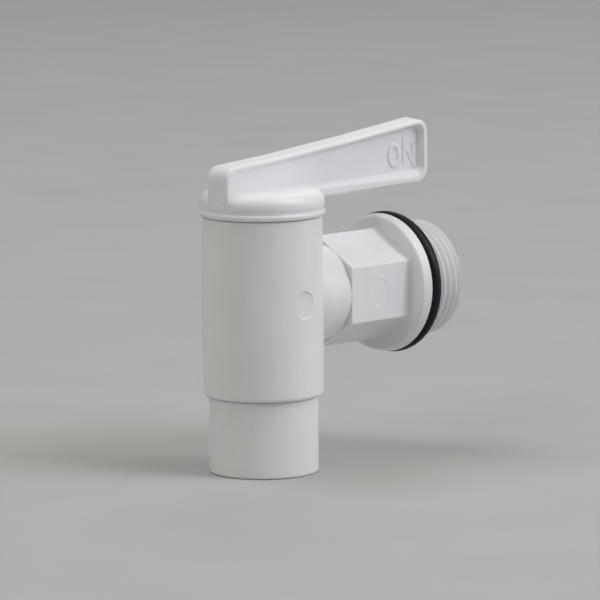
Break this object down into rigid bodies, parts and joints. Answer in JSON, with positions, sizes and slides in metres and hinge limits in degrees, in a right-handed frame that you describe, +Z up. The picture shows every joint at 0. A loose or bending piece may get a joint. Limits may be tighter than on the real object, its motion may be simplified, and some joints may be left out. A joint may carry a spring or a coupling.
{
  "type": "jerrycan tap",
  "caption": "Moulded lever tap for a jerrycan: threaded flanged inlet with a sealing ring, spanner hexagon, vertical barrel and a hollow rotor with spout turned by a lever handle.",
  "frame": {"origin": "centre of the flange's sealing plane, on the inlet axis", "axes": "+Y along the inlet axis into the container, +Z up along the barrel, lever over the inlet at rest"},
  "size_m": [0.0322, 0.0646, 0.0751],
  "materials": {
    "body_plastic": "satin moulded, slightly translucent white",
    "handle_plastic": "satin moulded, slightly translucent white",
    "rotor_plastic": "satin moulded, slightly translucent white",
    "black_rubber": "smooth moulded rubber"
  },
  "bodies": {
    "body": {"tap_body": "body_plastic", "flange_o_ring": "black_rubber", "inlet_port_seal": "black_rubber"},
    "rotor": {"rotor_barrel": "rotor_plastic", "lever_handle": "handle_plastic", "upper_rotor_o_ring": "black_rubber", "lower_rotor_o_ring": "black_rubber", "handle_snap_ring": "rotor_plastic"}
  },
  "joints": [
    {"name": "lever_turn", "type": "hinge", "parent": "body", "child": "rotor", "pos_m": [0, -0.0381, 0], "axis": [0, 0, 1], "range_deg": [-90, 90]}
  ]
}
